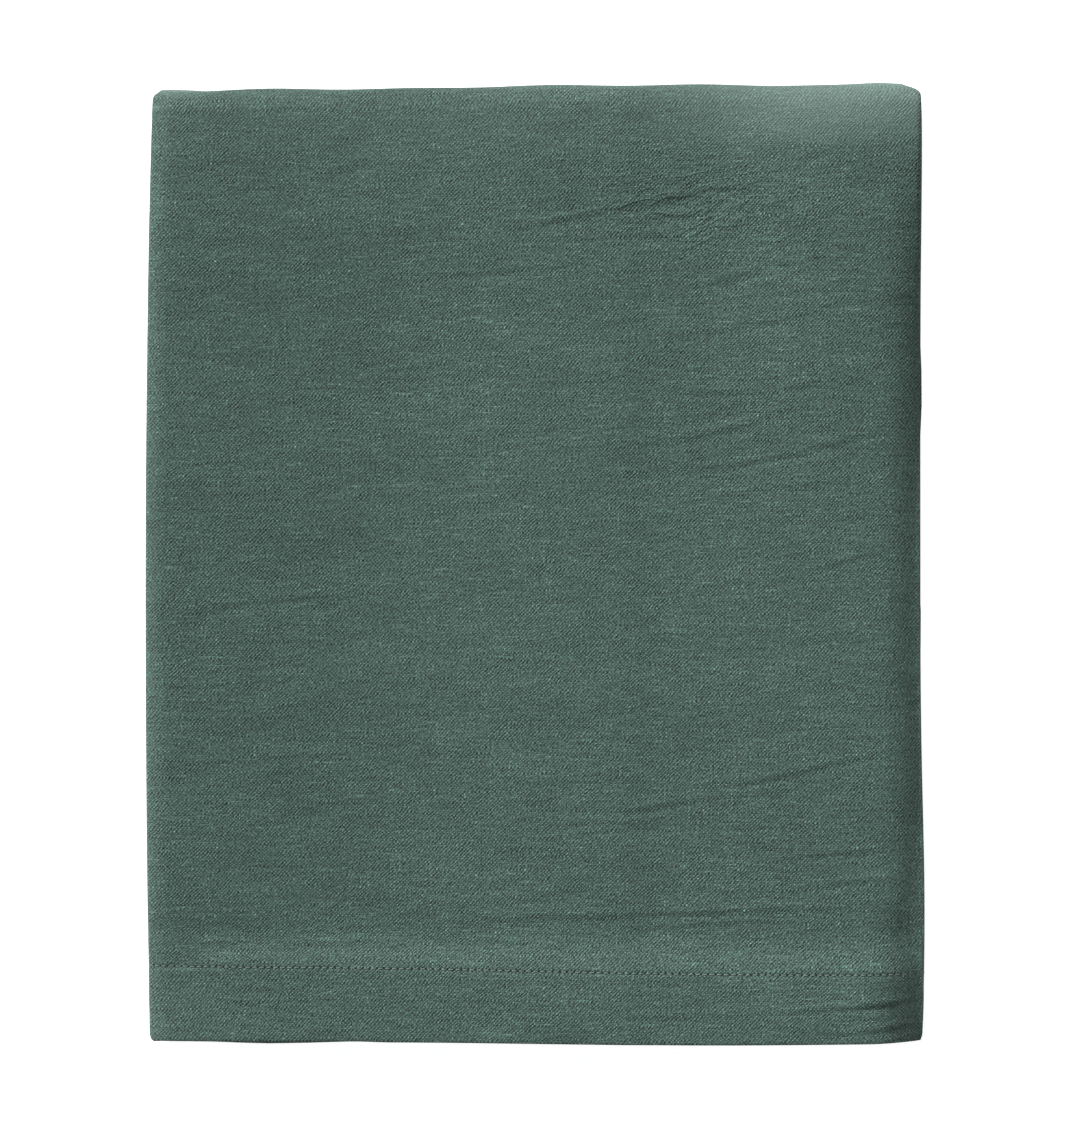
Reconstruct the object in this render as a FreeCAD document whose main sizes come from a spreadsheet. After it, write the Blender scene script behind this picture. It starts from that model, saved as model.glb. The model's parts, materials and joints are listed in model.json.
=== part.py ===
"""A hemmed tablecloth, folded to a flat packet.

Spread out, the cloth is a grid of sixteen panels: columns a to d across its width and rows 1 to 4
along its length. It is folded in half twice across the width, then in half twice along the length.
The last fold is the back edge of the packet, and the packet opens there like a book: the lower
half holds rows 2 and 3, the upper half rows 4 and 1. The front edge of the upper half is the two
hemmed ends of the cloth.

Frame: millimetres, +Z up, +Y towards the last fold, origin at the middle of the packet's underside.
Panels that lie wrong side to wrong side are hem_room apart, because both turned hems lie between
them. Panels that lie right side to right side are thread_room apart, which the stitching takes up.
"""
import FreeCAD, Part  # noqa: E401  (FreeCAD has to come first)
import os

import Sketcher

SIZES = [
    ("folded_width", 364.0, "left fold to right fold"),
    ("folded_length", 449.0, "hemmed front edge to the last fold"),
    ("cloth", 0.45, "thickness of the cloth"),
    ("hem_room", 1.9, "space between two wrong sides"),
    ("thread_room", 0.3, "space between two right sides, and between the two halves"),
    ("hem_width", 35.0, "edge of the cloth to the inner edge of the hem"),
    ("hem_tuck", 10.0, "raw edge tucked inside the hem"),
    ("stitch_inset", 2.0, "inner edge of the hem to the line of stitching"),
    ("free_edge_inset", 1.0, "how far the side hems stop short of the left fold"),
    ("thread_width", 0.4, "sewing thread"),
    ("thread_height", 0.12, "how far the thread stands out of the cloth"),
]

# the packet from the underside to the top face, one panel to a layer
STACK = ["c3", "b3", "a3", "d3", "d2", "a2", "b2", "c2", "c1", "b1", "a1", "d1", "d4", "a4", "b4", "c4"]
HALF_STACK = 8
ROW_LAYERS = 4
LOWER_ROWS = ("2", "3")

# lengths that follow from the sizes, as expressions
PAIR = "(2 * sizes.cloth + sizes.hem_room + sizes.thread_room)"
LEFT = "(-sizes.folded_width / 2)"
RIGHT = "(sizes.folded_width / 2)"
FRONT = "(-sizes.folded_length / 2)"
BACK = "(sizes.folded_length / 2)"
LEFT_BEND = f"({LEFT} + sizes.cloth + sizes.hem_room / 2)"
RIGHT_BEND = f"({RIGHT} - {PAIR} + sizes.thread_room / 2)"
FRONT_BEND = f"({FRONT} + 2 * {PAIR} - sizes.thread_room / 2)"
BACK_BEND = f"({BACK} - 4 * {PAIR} + sizes.thread_room)"
FREE_EDGE = f"({LEFT} + sizes.free_edge_inset)"
HEM_INSIDE = f"({FRONT} + sizes.hem_width)"

doc = FreeCAD.newDocument("folded_tablecloth")
sheet = doc.addObject("Spreadsheet::Sheet", "sizes")
pieces = []


def level(layer):
    """Height of the underside of a layer, counted from 0 at the bottom of the packet."""
    return f"({layer // 2} * {PAIR} + {layer % 2} * (sizes.cloth + sizes.hem_room))"


def fill_sheet():
    for row, (name, value, meaning) in enumerate(SIZES, start=1):
        sheet.set(f"A{row}", meaning)
        sheet.set(f"B{row}", str(value))
        sheet.setAlias(f"B{row}", name)
    doc.recompute()


def new_body(label, x="0", y="0", z="0"):
    """A body whose own origin stands at the given place."""
    body = doc.addObject("PartDesign::Body", label)
    body.Label = label
    body.AllowCompound = True
    for axis, place in zip("xyz", (x, y, z)):
        body.setExpression(f"Placement.Base.{axis}", place)
    pieces.append(body)
    return body


def origin_plane(body, role):
    return next(item for item in body.Origin.OriginFeatures if item.Role == role)


def new_sketch(body, plane, offset="0"):
    """A sketch on one of the body's own planes, moved along the plane's normal."""
    sketch = body.newObject("Sketcher::SketchObject", body.Name + "_sketch")
    sketch.AttachmentSupport = [(origin_plane(body, plane), "")]
    sketch.MapMode = "FlatFace"
    sketch.setExpression("AttachmentOffset.Base.z", offset)
    return sketch


def draw_outline(sketch, corners):
    """A closed outline of straight edges, each corner held by two dimensions from the sheet."""
    points = [
        FreeCAD.Vector(float(sheet.evalExpression(across)), float(sheet.evalExpression(along)), 0)
        for across, along in corners
    ]
    first = sketch.GeometryCount
    count = len(points)
    for index in range(count):
        sketch.addGeometry(Part.LineSegment(points[index], points[(index + 1) % count]), False)
    for index in range(count):
        after = first + (index + 1) % count
        sketch.addConstraint(Sketcher.Constraint("Coincident", first + index, 2, after, 1))
    for index, (across, along) in enumerate(corners):
        for kind, size, text in (
            ("DistanceX", points[index].x, across),
            ("DistanceY", points[index].y, along),
        ):
            number = sketch.addConstraint(Sketcher.Constraint(kind, first + index, 1, size))
            sketch.setExpression(f"Constraints[{number}]", text)


def box_corners(low_u, high_u, low_v, high_v):
    return [(low_u, low_v), (high_u, low_v), (high_u, high_v), (low_u, high_v)]


def pad(body, sketch, length):
    feature = body.newObject("PartDesign::Pad", body.Name + "_pad")
    feature.Profile = sketch
    feature.setExpression("Length", length)
    return feature


def repeat_pair(body, feature, sketch):
    """The same again one pair of layers higher."""
    doc.recompute()
    pattern = body.newObject("PartDesign::LinearPattern", body.Name + "_pattern")
    pattern.Originals = [feature]
    pattern.Direction = (sketch, ["V_Axis"])
    pattern.Mode = "Spacing"
    pattern.Occurrences = 2
    pattern.setExpression("Offset", PAIR)
    body.Tip = pattern


def mirror_down(body, feature):
    """The same again, mirrored in the body's own XY plane."""
    doc.recompute()
    mirrored = body.newObject("PartDesign::Mirrored", body.Name + "_mirror")
    mirrored.Originals = [feature]
    mirrored.MirrorPlane = (origin_plane(body, "XY_Plane"), [""])
    body.Tip = mirrored


def make_panel(layer, name):
    """One flat panel of the cloth."""
    column, row = name
    low_x = FREE_EDGE if column in "ad" else LEFT_BEND
    low_y = FRONT_BEND if row in LOWER_ROWS else FRONT
    body = new_body(f"panel_{name}", z=level(layer))
    sketch = new_sketch(body, "XY_Plane")
    draw_outline(sketch, box_corners(low_x, RIGHT_BEND, low_y, BACK_BEND))
    pad(body, sketch, "sizes.cloth")


def make_side_crease(label, first, second, place_x, side, row):
    """A half-round bend along Y between two layers of one row; side is 1 on the right."""
    radius = f"({level(second)} - {level(first)} + sizes.cloth) / 2"
    low_y = FRONT_BEND if row in LOWER_ROWS else FRONT
    body = new_body(label, x=place_x, z=f"({level(first)} + {level(second)} + sizes.cloth) / 2")
    sketch = new_sketch(body, "XY_Plane")
    near, far = f"{side} * ({radius} - sizes.cloth)", f"{side} * ({radius})"
    draw_outline(sketch, box_corners(near, far, low_y, BACK_BEND))
    turn = body.newObject("PartDesign::Revolution", label + "_turn")
    turn.Profile = sketch
    turn.ReferenceAxis = (sketch, ["V_Axis"])
    turn.Angle = 180
    turn.Midplane = True


def make_side_creases(row_start):
    """The three lengthwise bends of one row, whose lowest layer is row_start."""
    layers = {STACK[layer][0]: layer for layer in range(row_start, row_start + ROW_LAYERS)}
    row = STACK[row_start][1]
    for pair, place_x, side in (("bc", LEFT_BEND, -1), ("ab", RIGHT_BEND, 1), ("cd", RIGHT_BEND, 1)):
        first, second = sorted(layers[column] for column in pair)
        label = f"crease_{pair[0]}{row}_{pair[1]}{row}"
        make_side_crease(label, first, second, place_x, side, row)


def make_cross_crease(label, place_y, place_z, radii, direction, angle, both_ways, downwards=False):
    """Nested bends along X, one for each outer radius, as wide as the packet."""
    body = new_body(label, y=place_y, z=place_z)
    sketch = new_sketch(body, "XY_Plane")
    for radius in radii:
        near, far = f"{direction} * ({radius} - sizes.cloth)", f"{direction} * ({radius})"
        draw_outline(sketch, box_corners(LEFT, RIGHT, near, far))
    turn = body.newObject("PartDesign::Revolution", label + "_turn")
    turn.Profile = sketch
    turn.ReferenceAxis = (sketch, ["H_Axis"])
    turn.Angle = angle
    turn.Midplane = both_ways
    turn.Reversed = downwards


def make_cross_creases():
    """The bends across the packet: one at the front, and the last fold in two halves at the back."""
    middle = f"(2 * {PAIR} - sizes.thread_room / 2)"
    radii = [f"({middle} - {level(layer)})" for layer in range(ROW_LAYERS)]
    make_cross_crease("front_crease_rows_2_3", FRONT_BEND, middle, radii, -1, 180, True)
    lower_top = f"({level(HALF_STACK)} - sizes.thread_room)"
    for name, first in (("rows_3_4", 0), ("rows_1_2", ROW_LAYERS)):
        layers = range(first, first + ROW_LAYERS)
        radii = [f"({lower_top} - {level(layer)})" for layer in layers]
        lower = f"back_crease_{name}_lower"
        upper = f"back_crease_{name}_upper"
        make_cross_crease(lower, BACK_BEND, lower_top, radii, 1, 90, False, downwards=True)
        make_cross_crease(upper, BACK_BEND, level(HALF_STACK), radii, 1, 90, False)


def hem_outline(edge, base, up):
    """The turned hem in section: a band as wide as the hem, and the raw edge tucked inside it.

    edge is the free edge of the cloth, base the face of the panel that the hem is turned onto, and
    up is 1 where the hem lies above that face.
    """
    inner = f"({edge} + sizes.hem_width)"
    tuck = f"({inner} - sizes.hem_tuck)"
    wall = f"({edge} + sizes.cloth)"
    middle = f"({base} + {up} * sizes.cloth)"
    outside = f"({base} + {2 * up} * sizes.cloth)"
    return [
        (edge, base),
        (edge, outside),
        (inner, outside),
        (inner, base),
        (tuck, base),
        (tuck, middle),
        (wall, middle),
        (wall, base),
    ]


def make_end_hem(label, row_start):
    """The hem at one end of the cloth, on the four panels of its row."""
    body = new_body(label, z=f"{level(row_start)} + sizes.cloth")
    sketch = new_sketch(body, "YZ_Plane", LEFT_BEND)
    draw_outline(sketch, hem_outline(FRONT, "0", 1))
    draw_outline(sketch, hem_outline(FRONT, "sizes.hem_room", -1))
    repeat_pair(body, pad(body, sketch, f"{RIGHT_BEND} - {LEFT_BEND}"), sketch)


def make_end_stitching(label, row_start):
    """The line of stitching along an end hem, on the right side of each of its four panels."""
    line = f"({HEM_INSIDE} - sizes.stitch_inset)"
    near, far = f"{line} - sizes.thread_width / 2", f"{line} + sizes.thread_width / 2"
    top = "(2 * sizes.cloth + sizes.hem_room)"
    body = new_body(label, z=level(row_start))
    sketch = new_sketch(body, "YZ_Plane", LEFT_BEND)
    draw_outline(sketch, box_corners(near, far, "-sizes.thread_height", "0"))
    draw_outline(sketch, box_corners(near, far, top, f"{top} + sizes.thread_height"))
    repeat_pair(body, pad(body, sketch, f"{RIGHT_BEND} - {LEFT_BEND}"), sketch)


def make_side_hem(side_name, half, middle_layer, turned_in):
    """One long hem on two neighbouring rows, which mirror each other about the space between them.

    turned_in is True for column a, which lies outside column d in every row.
    """
    low_y = FRONT_BEND if half == "lower" else HEM_INSIDE
    centre = f"({level(middle_layer)} - sizes.thread_room / 2)"
    first = "(sizes.thread_room / 2 + sizes.cloth)"
    second = f"({first} + sizes.hem_room)"
    length = f"{BACK_BEND} - {low_y}"
    line = f"({FREE_EDGE} + sizes.hem_width - sizes.stitch_inset)"
    near, far = f"{line} - sizes.thread_width / 2", f"{line} + sizes.thread_width / 2"

    hem = new_body(f"{side_name}_side_hem_{half}", z=centre)
    sketch = new_sketch(hem, "XZ_Plane", f"-{BACK_BEND}")
    if turned_in:
        draw_outline(sketch, hem_outline(FREE_EDGE, second, -1))
    else:
        draw_outline(sketch, hem_outline(FREE_EDGE, first, 1))
    mirror_down(hem, pad(hem, sketch, length))

    stitching = new_body(f"{side_name}_side_stitching_{half}", z=centre)
    sketch = new_sketch(stitching, "XZ_Plane", f"-{BACK_BEND}")
    face = f"{second} + sizes.cloth" if turned_in else "sizes.thread_room / 2"
    out = f"{face} + sizes.thread_height" if turned_in else f"{face} - sizes.thread_height"
    draw_outline(sketch, box_corners(near, far, face, out))
    mirror_down(stitching, pad(stitching, sketch, length))


def check_and_write():
    """Stops on anything that failed, then writes one file for each piece."""
    doc.recompute()
    for item in doc.Objects:
        if {"Invalid", "Error"} & set(item.State):
            raise RuntimeError(f"{item.Label} failed: {item.State}")
    for piece in pieces:
        shape = piece.Shape
        if shape.isNull() or not shape.isValid() or not shape.Solids:
            raise RuntimeError(f"{piece.Label} has no valid solid")
    os.makedirs("parts", exist_ok=True)
    for piece in pieces:
        piece.Shape.exportStep(f"parts/{piece.Label}.step")
        box = piece.Shape.BoundBox
        print(f"{piece.Label}: {len(piece.Shape.Solids)} solid(s), {piece.Shape.Volume:.1f} mm3, "
              f"x {box.XMin:.2f} {box.XMax:.2f}  y {box.YMin:.2f} {box.YMax:.2f}  "
              f"z {box.ZMin:.2f} {box.ZMax:.2f}")


fill_sheet()
for layer, name in enumerate(STACK):
    make_panel(layer, name)
for row_start in range(0, len(STACK), ROW_LAYERS):
    make_side_creases(row_start)
make_cross_creases()
for end, row_start in (("near", HALF_STACK), ("far", HALF_STACK + ROW_LAYERS)):
    make_end_hem(f"{end}_end_hem", row_start)
    make_end_stitching(f"{end}_end_stitching", row_start)
for half, middle_layer in (("lower", ROW_LAYERS), ("upper", HALF_STACK + ROW_LAYERS)):
    make_side_hem("left", half, middle_layer, turned_in=True)
    make_side_hem("right", half, middle_layer, turned_in=False)
check_and_write()
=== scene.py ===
"""Looks of the folded tablecloth.

The cloth is one sheet, folded by running it along two tracks: one across its width and one along
its length. A point of the flat cloth goes to its place on the first track, and that track, with its
layers, is carried along the second. The turned hems are two more small tracks on the sheet's own
surface. A soft deformation then presses the upper half of the packet to the relief of a folded
cloth. Lengths inside this script are millimetres, until a mesh is made.
"""

import json
import math

import bpy
import numpy as np
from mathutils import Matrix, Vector


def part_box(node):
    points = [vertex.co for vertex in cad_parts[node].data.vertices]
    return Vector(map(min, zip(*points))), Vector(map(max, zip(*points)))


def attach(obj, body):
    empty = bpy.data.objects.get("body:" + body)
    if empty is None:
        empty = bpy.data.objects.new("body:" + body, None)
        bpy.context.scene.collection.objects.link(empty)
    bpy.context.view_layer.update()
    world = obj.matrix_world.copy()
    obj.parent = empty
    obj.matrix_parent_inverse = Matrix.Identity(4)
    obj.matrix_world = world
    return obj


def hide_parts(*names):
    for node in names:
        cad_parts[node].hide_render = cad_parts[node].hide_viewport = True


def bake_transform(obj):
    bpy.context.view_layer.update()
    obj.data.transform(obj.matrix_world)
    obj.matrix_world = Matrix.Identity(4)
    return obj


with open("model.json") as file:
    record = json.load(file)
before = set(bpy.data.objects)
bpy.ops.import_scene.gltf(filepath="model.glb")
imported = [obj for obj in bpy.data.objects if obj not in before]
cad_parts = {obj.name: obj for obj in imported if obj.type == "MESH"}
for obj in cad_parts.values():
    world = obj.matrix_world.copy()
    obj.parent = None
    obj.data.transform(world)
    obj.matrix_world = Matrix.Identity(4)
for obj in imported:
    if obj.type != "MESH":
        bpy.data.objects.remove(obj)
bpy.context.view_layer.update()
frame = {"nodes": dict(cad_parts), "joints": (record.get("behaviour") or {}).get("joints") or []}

MM = 0.001


# ---------------------------------------------------------------- sizes from the frame

def box_mm(node):
    low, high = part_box(node)
    return np.array(low) / MM, np.array(high) / MM


def middle_height(node):
    low, high = box_mm(node)
    return (low[2] + high[2]) / 2


def cloth_sizes():
    """The sizes that the CAD model holds, in millimetres."""
    low_c, high_c = box_mm("panel_c3")
    low_a = box_mm("panel_a3")[0]
    low_end = box_mm("panel_c4")[0]
    low_hem, high_hem = box_mm("far_end_hem")
    low_line, high_line = box_mm("far_end_stitching")
    joint = frame["joints"][0]["pos_m"]
    return {
        "thick": high_c[2] - low_c[2],
        "left_bend": low_c[0],
        "right_bend": high_c[0],
        "free_edge": low_a[0],
        "front": low_end[1],
        "front_bend": low_c[1],
        "back_bend": high_c[1],
        "layers": {column: middle_height(f"panel_{column}3") for column in "abcd"},
        "row_faces": [
            box_mm("panel_c1")[0][2],
            box_mm("panel_c2")[1][2],
            box_mm("panel_c3")[0][2],
            box_mm("panel_c4")[1][2],
        ],
        "half_height": joint[2] / MM,
        "hem": high_hem[1] - low_hem[1],
        "stitch_line": (low_line[1] + high_line[1]) / 2 - low_end[1],
    }


S = cloth_sizes()
HALF_LENGTH = -S["front"]
TOP = S["row_faces"][3]
HALF = S["half_height"]

STITCH = 3.3
TUCK = 10.0
HEM_PLY = 1.05 * S["thick"]
SEAM_REACH = 12.0


# ---------------------------------------------------------------- tracks

class Track:
    """A flat path of straight runs and half-turns, followed by distance along it."""

    def __init__(self, start, heading):
        self.pieces = []
        self.point = np.array(start, float)
        self.heading = np.array(heading, float)
        self.length = 0.0
        self.marks = {}

    def run(self, length):
        self.pieces.append(("run", self.length, length, self.point, self.heading, 0.0, 0.0))
        self.point = self.point + self.heading * length
        self.length += length
        return self

    def turn(self, radius, side, length=None):
        """A half-turn, to the left when side is 1. length is the cloth it takes up."""
        length = math.pi * radius if length is None else length
        left = np.array([-self.heading[1], self.heading[0]])
        self.pieces.append(("turn", self.length, length, self.point, self.heading, radius, side))
        self.point = self.point + left * (2 * radius * side)
        self.heading = -self.heading
        self.length += length
        return self

    def mark(self, name):
        self.marks[name] = self.length
        return self

    def at(self, distance):
        """Points and left-hand normals at these distances. The first and last runs go on."""
        distance = np.asarray(distance, float)
        point = np.zeros(distance.shape + (2,))
        normal = np.zeros(distance.shape + (2,))
        starts = np.array([piece[1] for piece in self.pieces])
        which = np.clip(np.searchsorted(starts, distance, side="right") - 1, 0, len(starts) - 1)
        for number, (kind, start, length, origin, heading, radius, side) in enumerate(self.pieces):
            here = which == number
            along = distance[here] - start
            left = np.array([-heading[1], heading[0]])
            if kind == "run":
                point[here] = origin + along[:, None] * heading
                normal[here] = left
            else:
                angle = (math.pi * along / length)[:, None]
                outward = -left * side * np.cos(angle) + heading * np.sin(angle)
                point[here] = origin + left * side * radius + radius * outward
                normal[here] = -side * outward
        return point, normal


def width_track():
    """Across the cloth, from the free edge of column a to that of d, in (x, layer height)."""
    layer = S["layers"]
    side_run = S["right_bend"] - S["free_edge"]
    inner_run = S["right_bend"] - S["left_bend"]
    track = Track((S["free_edge"], layer["a"]), (1, 0)).mark("a")
    track.run(side_run).turn((layer["a"] - layer["b"]) / 2, -1).mark("b")
    track.run(inner_run).turn((layer["b"] - layer["c"]) / 2, 1).mark("c")
    track.run(inner_run).mark("c_end").turn((layer["d"] - layer["c"]) / 2, 1).mark("d")
    return track.run(side_run)


def length_track():
    """Along the cloth, from the near end of row 1 to the far end of row 4, in (y, z).

    It follows the outer face of column c, and the layers lie to its left.
    """
    row_1, row_2, row_3, row_4 = S["row_faces"]
    half_strip = (S["layers"]["c"] + S["layers"]["d"]) / 2
    end_run = S["back_bend"] - S["front"]
    mid_run = S["back_bend"] - S["front_bend"]
    inner, front, outer = (row_1 - row_2) / 2, (row_2 - row_3) / 2, (row_4 - row_3) / 2
    track = Track((S["front"], row_1), (1, 0))
    track.run(end_run).mark("row_1_end")
    track.turn(inner, -1, math.pi * (inner + half_strip)).mark("row_2")
    track.run(mid_run).mark("row_2_end")
    track.turn(front, 1, math.pi * (front - half_strip)).mark("row_3")
    track.run(mid_run).mark("row_3_end")
    track.turn(outer, 1, math.pi * (outer - half_strip)).mark("row_4")
    return track.run(end_run)


ACROSS = width_track()
ALONG = length_track()


# ---------------------------------------------------------------- relief of the folded cloth

LOWEST, HIGHEST, LIMIT_SOFTNESS = 14.9, 26.9, 0.3
BASE_HEIGHT = 18.2
CREASE_GAIN, CREASE_NARROWING = 1.35, 0.75
HOLLOW_DEPTH, HOLLOW_AWAY, HOLLOW_WIDTH = 0.7, 1.9, 1.5
GROOVE_DEPTH, GROOVE_WIDTH = 0.22, 1.2
CRINKLE_COUNT, CROWDED_COUNT, CRINKLE_WIDTH = 46, 24, 1.1

# Creases of the top panel: three points that each one runs through, its height and its width.
CREASES = [
    ((35, 58), (97, 66), (149, 88), 0.22, 1.9),
    ((52, 84), (106, 82), (152, 90), 0.22, 1.7),
    ((48, 45), (108, 50), (181, 71), 0.26, 1.9),
    ((72, 30), (108, 36), (152, 39), 0.20, 1.8),
    ((94, -14), (125, -4), (181, 14), 0.34, 1.7),
    ((30, -118), (84, -109), (132, -104), 0.26, 1.9),
    ((76, -107), (122, -97), (181, -83), 0.28, 1.9),
    ((-22, 155), (35, 166), (118, 182), 0.26, 2.0),
    ((48, 168), (75, 164), (98, 170), 0.20, 1.4),
    ((62, 173), (84, 176), (106, 171), 0.20, 1.3),
    ((10, 151), (45, 155), (80, 151), 0.24, 1.6),
    ((110, 181), (130, 190), (152, 203), 0.26, 1.7),
    ((58, 124), (98, 137), (146, 146), 0.20, 2.0),
    ((72, 110), (112, 115), (150, 125), 0.18, 2.0),
    ((-97, 107), (-72, 116), (-48, 130), 0.18, 2.2),
    ((-120, 178), (-98, 183), (-76, 191), 0.16, 2.2),
    ((-74, 136), (-20, 138), (32, 143), 0.18, 1.8),
    ((-172, -22), (-130, -17), (-86, -12), 0.22, 1.9),
    ((-120, -116), (-96, -113), (-72, -108), 0.16, 2.0),
    ((-42, -166), (60, -163), (181, -158), 0.34, 2.4),
    ((38, -171), (90, -167), (140, -165), 0.26, 2.0),
    ((-20, -128), (40, -120), (95, -122), 0.14, 1.8),
    ((110, -140), (150, -134), (181, -133), 0.20, 1.6),
    ((120, -152), (152, -148), (181, -146), 0.20, 1.6),
    ((-178, -177), (-90, -178), (-30, -175), 0.20, 2.6),
    ((108, -209), (140, -207), (182, -203), 0.40, 1.6),
    ((126, -219), (155, -218), (183, -214), 0.40, 1.8),
    ((20, -212), (60, -211), (110, -212), 0.22, 1.8),
]


def smooth(t):
    t = np.clip(t, 0.0, 1.0)
    return t * t * (3 - 2 * t)


def steepening(t):
    """A slope that starts level at 0, passes 1 at 1 and stops a little beyond."""
    return np.clip(t, 0, 1.2) ** 2


def hump(x, y, centre, size):
    return np.exp(-((x - centre[0]) / size[0]) ** 2 - ((y - centre[1]) / size[1]) ** 2)


def ripples(x, y, seed, wavelength, stretch=1.0, waves=14):
    """Soft even noise of about unit size: plane waves in random directions."""
    random = np.random.default_rng(seed)
    total = np.zeros(np.broadcast(x, y).shape)
    for _ in range(waves):
        turn, phase = random.uniform(0, 2 * math.pi, 2)
        size = wavelength * random.uniform(0.7, 1.5)
        along = x * math.cos(turn) / stretch + y * math.sin(turn)
        total += np.sin(2 * math.pi * along / size + phase)
    return total * math.sqrt(2 / waves)


def top_height(x, y):
    """Height of the packet's top face: thick over the hems, thin towards the folds."""
    left_hems = 4.2 * smooth((-60 - x) / 120) * (1 - 0.45 * smooth((-y - 160) / 50))
    middle = 1.9 * smooth((x + 60) / 75) * (1 - 0.4 * smooth((x - 42) / 16))
    middle = middle + 1.0 * smooth((x - 70) / 80)
    end_hem = 3.5 * smooth((-172 - y) / 22) + 3.2 * np.clip((-y - 182) / 42, 0, 1)

    slope_start = 130 + 45 * smooth((x + 140) / 150)
    right_back = smooth((x - 80) / 70)
    back_slope = (3.6 - 3.2 * right_back) * steepening((y - slope_start) / (225 - slope_start))
    back_slope += right_back * (5.4 * steepening((y - 191) / 33) - 4.0 * smooth((y - 20) / 150))

    near_front = hump(x, y, (182, -215), (70, 45))
    right_start = 163.5 - 13 * near_front
    right_slope = (5.0 + 5.8 * near_front) * steepening((x - right_start) / (179 - right_start))
    right_slope *= 1 - 0.85 * smooth((y - 110) / 95)
    left_slope = 4.2 * smooth((-172.5 - x) / 13) ** 2
    left_slope += 2.6 * smooth((-140 - x) / 44) * smooth((-178 - y) / 14)

    height = BASE_HEIGHT + left_hems + middle + end_hem - back_slope - right_slope - left_slope
    height += 0.22 * ripples(x, y, 11, 120, 1.6)
    height = LOWEST + np.logaddexp(0, (height - LOWEST) / LIMIT_SOFTNESS) * LIMIT_SOFTNESS
    return HIGHEST - np.logaddexp(0, (HIGHEST - height) / LIMIT_SOFTNESS) * LIMIT_SOFTNESS


def crease(x, y, points, height, width):
    """One crease: a narrow ridge with a shallow hollow in front of it, fading at both ends."""
    (x0, y0), (x1, y1), (x2, y2) = points
    line = (
        y0 * (x - x1) * (x - x2) / ((x0 - x1) * (x0 - x2))
        + y1 * (x - x0) * (x - x2) / ((x1 - x0) * (x1 - x2))
        + y2 * (x - x0) * (x - x1) / ((x2 - x0) * (x2 - x1))
    )
    fade = smooth(3 * (x - x0) / (x2 - x0)) * smooth(3 * (x2 - x) / (x2 - x0))
    away = (y - line) / width
    hollow = HOLLOW_DEPTH * np.exp(-((away + HOLLOW_AWAY) / HOLLOW_WIDTH) ** 2)
    return height * fade * (np.exp(-away ** 2) - hollow)


def crinkles():
    """Short fine creases, crowded together near the back and scattered over the whole panel."""
    random = np.random.default_rng(9)
    found = []
    for number in range(CRINKLE_COUNT):
        crowded = number < CROWDED_COUNT
        if crowded:
            middle = random.normal((80, 166), (26, 9))
            half = random.uniform(7, 16)
            tilt = random.uniform(-0.2, 0.55)
        else:
            middle = random.uniform((-150, -165), (170, 160))
            half = random.uniform(14, 34)
            tilt = random.uniform(0, 0.22)
        bend = random.normal(0, 1)
        points = [
            (middle[0] + end * half, middle[1] + end * half * tilt + abs(end) * bend)
            for end in (-1, 0, 1)
        ]
        height = random.uniform(0.10, 0.18 if crowded else 0.20)
        found.append((points, height, CRINKLE_WIDTH))
    return found


CRINKLES = crinkles()


def creases(x, y):
    """The top panel's creases, its fine crinkles and the groove that the stitches pull in."""
    total = 0.02 * ripples(x, y, 5, 9, 4.0) + 0.035 * ripples(x, y, 6, 22, 3.0)
    for points, height, width in CRINKLES:
        total += crease(x, y, points, height, width)
    for *points, height, width in CREASES:
        total += crease(x, y, points, CREASE_GAIN * height, CREASE_NARROWING * width)
    total *= 1 + 0.28 * ripples(x, y, 8, 20, 2.5)
    from_stitches = y - S["front"] - S["stitch_line"]
    return total - GROOVE_DEPTH * np.exp(-(from_stitches / GROOVE_WIDTH) ** 2)


def outline_shift(x, y, z):
    """How far a place moves in plan: bowed edges, rounded corners, and lower layers set back."""
    left = -0.5 + 2.6 * ((y + 19) / 226) ** 2
    right = 2.0 * np.exp(-((y + 165) / 70) ** 2)
    back = 1.0 + 0.009 * x + 1.2 * np.exp(-((x - 20) / 60) ** 2)
    back = back + 1.0 * hump(x, y, (168, 224), (14, 60))
    front = 1.3 - 1.2 * np.exp(-((x - 80) / 90) ** 2)
    side = smooth((np.abs(x) - 60) / 120)
    shift_x = np.where(x < 0, left, right) * side
    shift_y = back * smooth((y - 120) / 100) + front * smooth((-y - 165) / 30)
    shift_y -= 0.011 * x * np.exp(-((y + 191) / 20) ** 2)

    corner = smooth((np.abs(x) - 140) / 40)
    shift_x -= np.sign(x) * corner * np.where(
        y > 0,
        np.where(x < 0, 1.7, 5.5) * smooth((y - np.where(x < 0, 219, 217)) / 7) ** 2,
        0.7 * smooth((-y - 221) / 4) ** 2,
    )

    below = 1 - smooth((z - 14) / 8)
    end = smooth((np.abs(y) - 150) / 60)
    shift_x -= np.sign(x) * side * below * (0.8 + 0.8 * ripples(y, 9 * z, 21, 90))
    shift_y -= np.sign(y) * end * below * (0.6 + 0.6 * ripples(x, 9 * z, 22, 90))
    shift_y += smooth((-66 - x) / 20) * smooth((-y - 198) / 16) * (0.5 - 2.4 * below)
    return shift_x, shift_y


def inner_dent(x, y, seed):
    """Soft unevenness of the two faces that meet in the middle. It fades out at the edges."""
    fade = smooth((205 - np.abs(y)) / 40) * smooth((178 - np.abs(x)) / 30)
    broad, fine = ripples(x, y, seed, 90, 1.5), ripples(x, y, seed + 1, 24, 3.0)
    return fade * (0.55 + 0.3 * broad + 0.1 * fine)


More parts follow.
